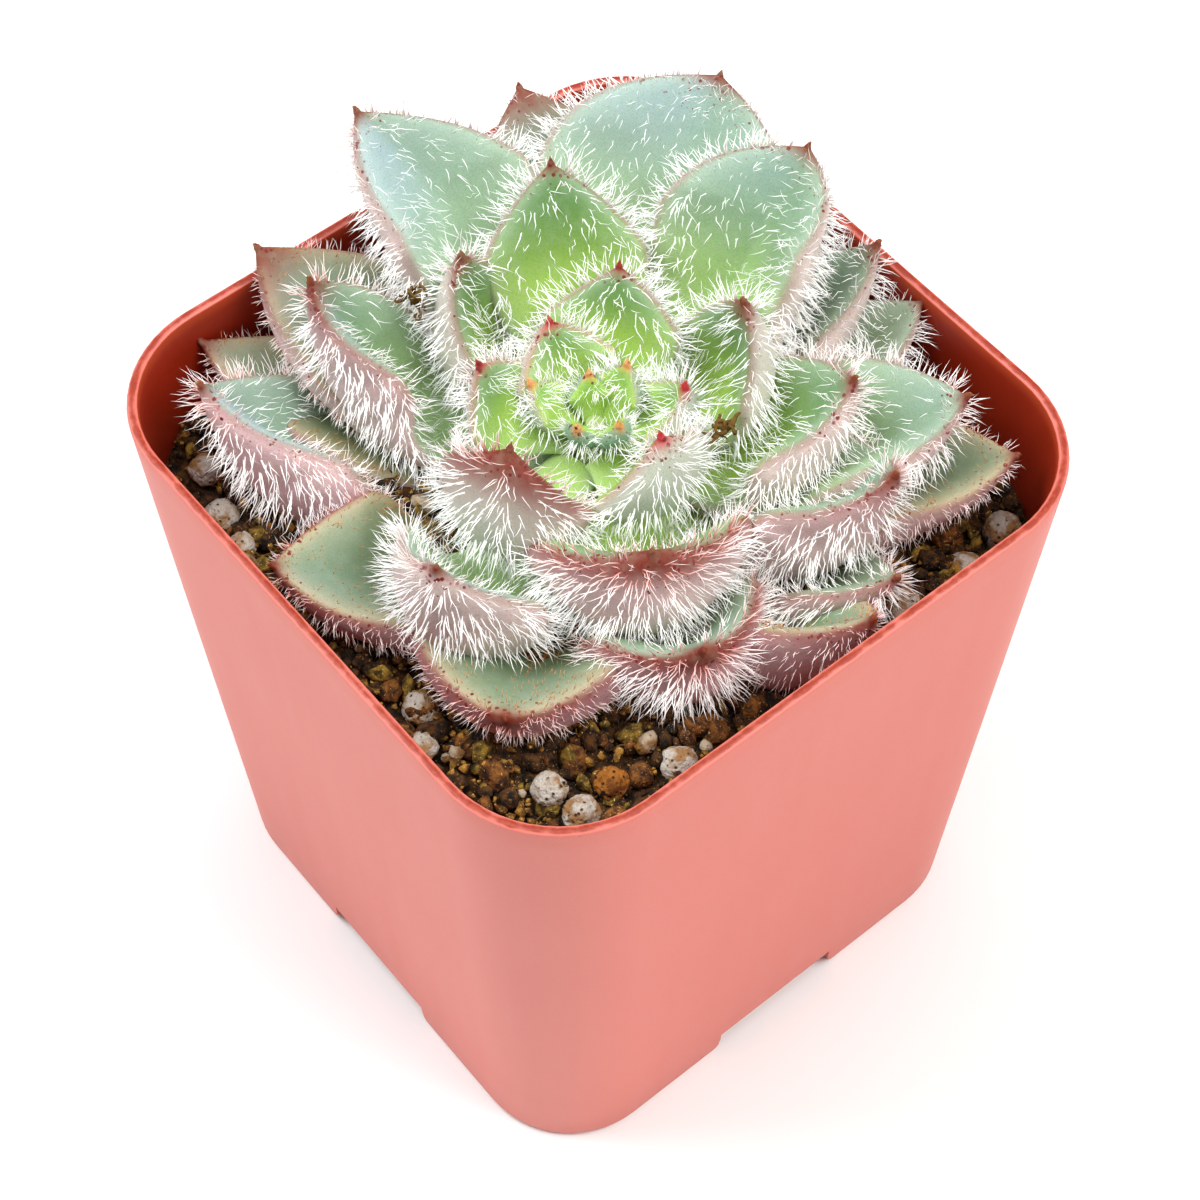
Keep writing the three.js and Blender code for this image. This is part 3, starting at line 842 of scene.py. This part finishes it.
    def make(self, finish):
        """The skin: rings of points that get closer towards the tip, and a pole at each end."""
        stations = 1 - (1 - np.linspace(0, 1, LEAF_STATIONS)) ** 1.5
        stations[[0, -1]] = END_STATIONS
        stations = np.concatenate([stations, 1 + (self.end - 1) * SPIKE_STATIONS])
        angles = np.arange(LEAF_SIDES) / LEAF_SIDES * 2 * math.pi
        along, angle = [grid.ravel() for grid in np.meshgrid(stations, angles, indexing="ij")]
        points = self.surface(along, angle)
        centres = points.reshape(-1, LEAF_SIDES, 3).mean(axis=1)
        point = centres[-1] + (centres[-1] - centres[-2]) * 0.6
        first, top = len(points), len(points) - LEAF_SIDES
        side = np.arange(LEAF_SIDES)
        following = (side + 1) % LEAF_SIDES
        low = np.stack([np.full(LEAF_SIDES, first), side, following], axis=1)
        high = np.stack([np.full(LEAF_SIDES, first + 1), top + following, top + side], axis=1)
        self.mesh_points = np.vstack([points, centres[0], point])
        self.mesh_faces = ring_faces(len(stations), LEAF_SIDES).tolist() + low.tolist() + high.tolist()
        name = f"leaf_{self.number:02d}"
        piece = solid_object(name + "_skin", self.mesh_points, self.mesh_faces, finish)
        piece.data.shade_smooth()
        along = np.concatenate([along, [0, self.end]])
        angle = np.concatenate([angle, [math.pi / 2, math.pi / 2]])
        tints = np.column_stack([self.tints(along, angle), np.ones(len(along))])
        add_attribute(piece, "tint", tints, "FLOAT_COLOR", "color")
        add_attribute(piece, "red", self.redness(along, angle))
        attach(piece, "root")
        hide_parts(name)


# ---- hairs


def hair_density(leaf, along, angle):
    """Hairs on a square millimetre, at points of a leaf's skin."""
    up = np.sin(angle)
    margin = np.exp(-(up / 0.4) ** 2)
    upper = lerp(*HAIRS_UPPER, smoothstep(leaf.age / 0.6))
    face = np.where(up > 0, upper, lerp(HAIRS_UNDER, HAIRS_WORN, leaf.worn()))
    from_tip = (1 - along) * leaf.length
    tip = np.exp(-(np.maximum(0, from_tip) / 1.8) ** 2)
    bare = np.where(up > 0.3, lerp(*BARE_BASES, smoothstep(leaf.age / 0.5)), BARE_BASES[1])
    grown = smoothstep((along - bare) / 0.2) * smoothstep((from_tip - BARE_TIP) / 0.5)
    if leaf.number in SHAGGY_BASES:
        grown = grown * (1 + np.exp(-(along / 0.3) ** 2))
    if leaf.number in SCARS:
        grown = grown * (1 - 0.55 * np.exp(-(from_tip / SCARS[leaf.number]) ** 2))
    small = 1 + 0.8 * (1 - smoothstep((leaf.width - 3) / 9))
    return (lerp(face, HAIRS_MARGIN, margin) + 6 * tip) * grown * small


def hair_length(leaf, angle):
    """The usual length of the hairs, at angles around a leaf's section."""
    up = np.sin(angle)
    margin = np.exp(-(up / 0.5) ** 2)
    upper = lerp(*HAIR_LENGTH_UPPER, smoothstep(leaf.age / 0.6))
    face = np.where(up > 0, upper, HAIR_LENGTH_UNDER)
    size = 0.62 + 0.38 * smoothstep(leaf.width / 11)
    fringe = lerp(*HAIR_LENGTH_MARGIN, smoothstep((leaf.age - 0.3) / 0.5))
    stubble = lerp(np.where(up > 0, *STUBBLE_LENGTHS[:2]), STUBBLE_LENGTHS[2], margin)
    return lerp(lerp(face, fringe, margin) * size, stubble, leaf.worn())


def grow_hairs(leaf, obstacles):
    """Roots, directions, lengths and redness of the hairs that a leaf has room for."""
    draw = leaf.random
    along = draw.uniform(HAIRS_FROM, leaf.end - 0.001, HAIR_TRIALS)
    angle = draw.uniform(0, 2 * math.pi, HAIR_TRIALS)
    normal, forward, marginward, area = leaf.directions(along, angle)
    cell = (leaf.end - 0.001 - HAIRS_FROM) * 2 * math.pi / HAIR_TRIALS
    expected = hair_density(leaf, along, angle) * area * cell
    kept = draw.uniform(0, 1, HAIR_TRIALS) < expected
    along, angle = along[kept], angle[kept]
    normal, forward, marginward = normal[kept], forward[kept], marginward[kept]
    count = len(along)
    roots = leaf.surface(along, angle) - normal * ROOT_DEPTH
    up = np.sin(angle)
    margin = np.exp(-(up / 0.4) ** 2)
    near_tip = np.exp(-(np.maximum(0, 1 - along) * leaf.length / 2.2) ** 2)
    combed = lerp(*HAIR_COMBING, smoothstep(leaf.age / 0.5))
    back = combed * np.where(up > 0, draw.uniform(0.5, 1.5, count), draw.uniform(0.1, 0.8, count))
    lean = lerp(lerp(-back, draw.uniform(-0.1, 0.4, count), margin), draw.uniform(0, 0.9, count), near_tip)
    spread = 0.5 * np.abs(np.cos(angle)) * draw.uniform(0.3, 1, count) * (1 - margin)
    stray = draw.normal(0, 1, (count, 3)) * np.where(up > 0.3, *HAIR_STRAY)[:, None]
    heading = unit(normal + forward * lean[:, None] + marginward * spread[:, None] + stray)
    length = hair_length(leaf, angle) * draw.uniform(0.65, 1.2, count)
    room = np.ones(count, dtype=bool)
    for index in range(count):
        start = Vector(roots[index] + heading[index] * RAY_START)
        hit, hit_normal, _, distance = obstacles.ray_cast(start, Vector(heading[index]), length[index])
        if hit is None:
            continue
        leaving = hit_normal.dot(Vector(heading[index])) > 0
        if leaving or distance < SHORTEST_HAIR:
            room[index] = False
        else:
            length[index] = RAY_START + distance * 0.92
    red = leaf.redness(along, angle) * leaf.sunned()
    red = np.maximum(red, 0.6 * leaf.worn())
    tone = np.minimum((red * HAIR_TONES).astype(int), HAIR_TONES - 2)
    if leaf.worn() > 0.5:
        tone[up > 0.25] = HAIR_TONES - 1
    return roots[room], heading[room], length[room], tone[room]


def hair_faces(levels):
    """Triangles of one hair: its bands, its point and its root."""
    faces = []
    for corner in range(HAIR_SIDES):
        following = (corner + 1) % HAIR_SIDES
        for low in range(0, (levels - 2) * HAIR_SIDES, HAIR_SIDES):
            high = low + HAIR_SIDES
            faces.append((low + corner, low + following, high + following))
            faces.append((low + corner, high + following, high + corner))
        top = (levels - 2) * HAIR_SIDES
        faces.append((top + corner, top + following, top + HAIR_SIDES))
    faces.append(tuple(range(HAIR_SIDES))[::-1])
    return np.array(faces)


def make_hairs(leaf, obstacles, finish):
    """One mesh of tapered, curved hairs for a leaf."""
    roots, heading, length, tone = grow_hairs(leaf, obstacles)
    draw = leaf.random
    count = len(roots)
    side = unit(np.cross(heading, draw.normal(0, 1, (count, 3))))
    other = np.cross(heading, side)
    bow = side * draw.normal(0, HAIR_BOW, (count, 1)) + other * draw.normal(0, HAIR_BOW, (count, 1))
    bow[:, 2] -= HAIR_SAG
    curl = side * draw.normal(0, HAIR_CURL, (count, 1))
    slender = np.clip(length / HAIR_LENGTH_UNDER, 0.6, 1)
    radius = HAIR_RADIUS * slender * draw.uniform(0.8, 1.2, count) * (0.7 + 0.3 * min(1, leaf.width / 12))
    heights = np.array(HAIR_HEIGHTS + (1.0,))
    rise = heights[:, None]
    path = heading[:, None] * rise + bow[:, None] * rise ** 2 + curl[:, None] * np.sin(2 * math.pi * rise)
    centres = roots[:, None] + path * length[:, None, None]
    thick = radius[:, None] * lerp(1, HAIR_TIP_SHARE, heights[:-1])
    rings = centres[:, :-1, None] + circles(side, other, HAIR_SIDES)[:, None] * thick[:, :, None, None]
    points = np.concatenate([rings.reshape(count, -1, 3), centres[:, -1:]], axis=1)
    each = points.shape[1]
    template = hair_faces(len(heights))
    all_faces = (template[None] + (np.arange(count) * each)[:, None, None]).reshape(-1, 3)
    name = f"leaf_{leaf.number:02d}_hair"
    piece = mesh_piece(name, points.reshape(-1, 3), all_faces, finish, leaf.slot())
    add_attribute(piece, "tone", np.repeat(tone / (HAIR_TONES - 1), each))
    corner_heights = np.concatenate([np.repeat(heights[:-1], HAIR_SIDES), [1.0]])
    add_attribute(piece, "height", np.tile(corner_heights, count))
    add_hair_map(piece, template, corner_heights, tone, count)
    piece.visible_shadow = False


def add_hair_map(piece, template, corner_heights, tone, count):
    """A texture map in which all hairs of one tone share a strip: across is round, up is along."""
    strip = 1 / HAIR_TONES
    places = []
    for face in template:
        middle_height = corner_heights[list(face)].mean()
        for order, corner in enumerate(face):
            column = corner % HAIR_SIDES
            across = (column + 0.5) / (HAIR_SIDES + 1) + 0.12 * order
            rise = lerp(corner_heights[corner], middle_height, 0.1)
            places.append((0.1 + 0.6 * across, 0.03 + 0.94 * rise))
    places = np.array(places)
    uv = np.tile(places[None], (count, 1, 1))
    uv[:, :, 0] = (tone[:, None] + uv[:, :, 0]) * strip
    layer = piece.data.uv_layers.new(name="OFBake")
    layer.data.foreach_set("uv", uv.astype(np.float32).ravel())


# ---- soil and what lies on it


def soil_height(x, y):
    return SOIL_LEVEL + SOIL_BUMP * math.sin(x * 0.31 + 1) * math.cos(y * 0.27 + x * 0.11)


def make_soil(finish):
    """The filling of the pot, with a crumbly top."""
    outline = pot_ring(SOIL_LEVEL, WALL + 0.02)
    rings = [pot_ring(INNER_FLOOR + 0.1, WALL + 0.1), pot_ring(SOIL_LEVEL - 3, WALL + 0.05)]
    for ring in range(SOIL_RINGS):
        share = 1 - ring / SOIL_RINGS
        row = []
        for x, y, _ in outline:
            x, y = x * share, y * share
            crumbs = noise.fractal(Vector((x, y, 3)) * 0.8, 1.0, 2.0, 4)
            row.append((x, y, soil_height(x, y) - 0.5 + 0.8 * crumbs))
        rings.append(row)
    points, faces = closed_loft(rings, (0, 0, INNER_FLOOR + 0.1), (0, 0, SOIL_LEVEL - 0.5))
    soil = solid_object("soil_bed", points, faces, finish)
    soil.data.shade_smooth()
    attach(soil, "root")
    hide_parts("soil")


def grain_template(level):
    """A unit icosphere's points and triangles."""
    ball = bmesh.new()
    bmesh.ops.create_icosphere(ball, subdivisions=level, radius=1)
    points = np.array([tuple(vertex.co) for vertex in ball.verts])
    faces = np.array([[vertex.index for vertex in face.verts] for face in ball.faces])
    ball.free()
    return points, faces


def lumpy(points, seed, rough, pits=0.0):
    """Unit ball points pushed in and out into a stony shape."""
    shaped = np.empty_like(points)
    shift = Vector((seed * 3.7, -seed * 1.9, seed * 0.6))
    for index, point in enumerate(points):
        place = Vector(point)
        swell = 1 + rough * noise.fractal(place * 1.3 + shift, 1.0, 2.0, 4)
        if pits:
            hollow = noise.noise(place * 5 + shift)
            swell -= pits * max(0, hollow - 0.25)
        shaped[index] = point * swell
    return shaped


def random_turn(draw):
    """The matrix of a random turn in space."""
    return np.array(Quaternion(draw.normal(0, 1, 4)).normalized().to_matrix())


def inside_pot(x, y, clearance):
    """Whether a place on the soil is inside the wall by a clearance."""
    share = SOIL_LEVEL / POT_HEIGHT
    radius = lerp(POT_BASE_RADIUS, POT_TOP_RADIUS, share) - WALL - clearance
    middle = lerp(POT_BASE_SIDE, POT_TOP_SIDE, share) / 2 - WALL - clearance - radius
    dx, dy = max(0, abs(x) - middle), max(0, abs(y) - middle)
    return math.hypot(dx, dy) <= radius


def scatter_crumbs(name, count, sizes, finish, seed, slot="soil", level=1, rough=0.5, sink=0.2):
    """Crumbs strewn over the soil that shows around the plant."""
    draw = np.random.default_rng(seed)
    ball, triangles = grain_template(level)
    shapes = [lumpy(ball, seed + kind * 0.37, rough) for kind in range(CRUMB_KINDS)]
    points, faces = [], []
    made = 0
    while made < count:
        x, y = draw.uniform(-27, 27, 2)
        size = draw.uniform(0, 1) ** 2 * (sizes[1] - sizes[0]) + sizes[0]
        if not inside_pot(x, y, size * 0.8) or math.hypot(x, y) < CRUMB_NEAREST:
            continue
        shape = shapes[int(draw.integers(len(shapes)))] * draw.uniform(0.6, 1.15, 3)
        shape = shape @ random_turn(draw).T * size
        z = soil_height(x, y) - 0.3 + size * sink + draw.uniform(0, 0.5)
        faces.append(triangles + made * len(ball))
        points.append(shape + np.array([x, y, z]))
        made += 1
    mesh_piece(name, np.vstack(points), np.vstack(faces), finish, slot, smooth=level > 1)


def make_granules():
    pale = pumice_finish("pumice", (188, 180, 168), (150, 112, 70), (84, 48, 18))
    ochre = pumice_finish("ochre_grit", (160, 98, 28), (104, 58, 14), (48, 26, 8))
    ball, triangles = grain_template(5)
    names = sorted(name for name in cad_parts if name.startswith("granule_"))
    for index, name in enumerate(names):
        low, high = [np.array(corner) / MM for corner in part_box(name)]
        centre, size = (low + high) / 2, (high - low) / 2
        is_last = index == len(names) - 1
        shape = lumpy(ball, index + 1, 0.14, 0.5) * size * 1.02 + centre
        slot = "ochre_grit" if is_last else "pumice"
        piece = mesh_piece(name + "_stone", shape, triangles, ochre if is_last else pale, slot)
        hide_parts(name)


def tube(points, radii, sides=6):
    """Points and faces of a closed tube along a path."""
    points = np.array(points, dtype=float)
    tangents = unit(np.gradient(points, axis=0))
    side = unit(np.cross(tangents, np.array([0.31, 0.17, 0.93])))
    other = np.cross(tangents, side)
    rings = points[:, None] + circles(side, other, sides) * np.asarray(radii)[:, None, None]
    return closed_loft(rings.tolist(), tuple(points[0]), tuple(points[-1]))


def joined_tubes(name, routes, finish):
    """One piece of closed tubes, each along a route of its own."""
    points, faces = [], []
    for route, radii in routes:
        tube_points, tube_faces = tube(route, radii)
        faces += [[corner + len(points) for corner in face] for face in tube_faces]
        points += tube_points
    piece = solid_object(name, points, faces, finish)
    piece.data.shade_smooth()
    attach(piece, "root")


def make_fibres(finish):
    """Short peat fibres that lie on the soil."""
    draw = np.random.default_rng(SEED + 400)
    routes = []
    while len(routes) < FIBRES:
        x, y = draw.uniform(-25, 25, 2)
        if math.hypot(x, y) < 14 or not inside_pot(x, y, 2.5):
            continue
        heading = draw.uniform(0, 2 * math.pi)
        length = draw.uniform(1.5, 4)
        route = []
        for step in range(STRAND_STEPS):
            heading += draw.normal(0, 0.35)
            x += math.cos(heading) * length / STRAND_STEPS
            y += math.sin(heading) * length / STRAND_STEPS
            route.append((x, y, soil_height(x, y) + 0.35 + 0.3 * math.sin(step + heading)))
        routes.append((route, np.linspace(0.09, 0.04, STRAND_STEPS) * draw.uniform(0.7, 1.3)))
    joined_tubes("soil_fibres", routes, finish)


def make_wisp(name, place, reach, seed, finish):
    """A shrivelled scrap of an old flower stalk, caught between the leaves."""
    draw = np.random.default_rng(seed)
    size = max(reach)
    routes = []
    for _ in range(WISP_STRANDS):
        point = np.array(place, dtype=float) + draw.normal(0, 0.3, 3) * reach
        heading = unit(draw.normal(0, 1, (1, 3)) * reach)[0]
        route = [tuple(point)]
        for _ in range(STRAND_STEPS):
            heading = unit((heading + draw.normal(0, 0.55, 3) * np.array(reach) / size)[None])[0]
            point = point + heading * size * 0.1
            route.append(tuple(point))
        routes.append((route, np.linspace(0.2, 0.09, STRAND_STEPS + 1) * draw.uniform(0.7, 1.3)))
    joined_tubes(name, routes, finish)


# ---- assembly


make_camera()
make_studio()
pot = make_pot()

skin = leaf_finish()
hair = hair_finish()
leaves = [Leaf(order, row) for order, row in enumerate(LEAVES)]
for leaf in leaves:
    leaf.make(skin)

all_points = [tuple(vertex.co / MM) for vertex in pot.data.vertices]
all_faces = [tuple(polygon.vertices) for polygon in pot.data.polygons]
for leaf in leaves:
    shift = len(all_points)
    all_points += [tuple(point) for point in leaf.mesh_points]
    all_faces += [[corner + shift for corner in face] for face in leaf.mesh_faces]
obstacles = BVHTree.FromPolygons(all_points, all_faces)
for leaf in leaves:
    make_hairs(leaf, obstacles, hair)

peat = soil_finish("peat", (16, 9, 4), (92, 58, 26), (168, 124, 60))
make_soil(peat)
scatter_crumbs("soil_peat_crumbs", 1300, (0.35, 1.2), peat, SEED + 100)
bark = soil_finish("bark", (52, 26, 8), (146, 92, 38), (196, 156, 88))
scatter_crumbs("soil_bark_crumbs", 420, (0.4, 1.6), bark, SEED + 101)
moss = soil_finish("moss", (62, 46, 10), (160, 126, 48), (212, 188, 112))
scatter_crumbs("soil_moss_crumbs", 520, (0.35, 1.3), moss, SEED + 102, rough=0.9)
flakes = soil_finish("flakes", (84, 50, 12), (188, 138, 58), (236, 212, 150))
scatter_crumbs("soil_golden_flakes", 2600, (0.14, 0.5), flakes, SEED + 104, rough=1.1, sink=1.2)
grit = pumice_finish("grit", (176, 158, 134), (128, 92, 52), (70, 42, 20))
scatter_crumbs("soil_grit", 60, (0.5, 1.2), grit, SEED + 103, "pumice", level=3, rough=0.2, sink=0.5)
wisp = plain_finish("dry_wisp", 0.3, (2.5, 4), [(44, 24, 10), (132, 98, 30)], (0.7, 0.9), 0.1)
make_fibres(wisp)
make_wisp("dry_wisp_left", (-15.5, -5.0, 66.5), (0.9, 0.9, 2.6), SEED + 200, wisp)
make_wisp("dry_wisp_right", (8.0, 6.0, 65.0), (1.6, 1.8, 0.7), SEED + 201, wisp)
make_granules()
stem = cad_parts["stem"]
stem.data.materials.clear()
bark_rings = (0.9, 4, (0.5, 0.5, 2.5))
stem_greens = [(120, 140, 78), (158, 172, 110)]
stem.data.materials.append(plain_finish("stem_skin", 0.4, bark_rings, stem_greens, (0.6, 0.85), 0.2))
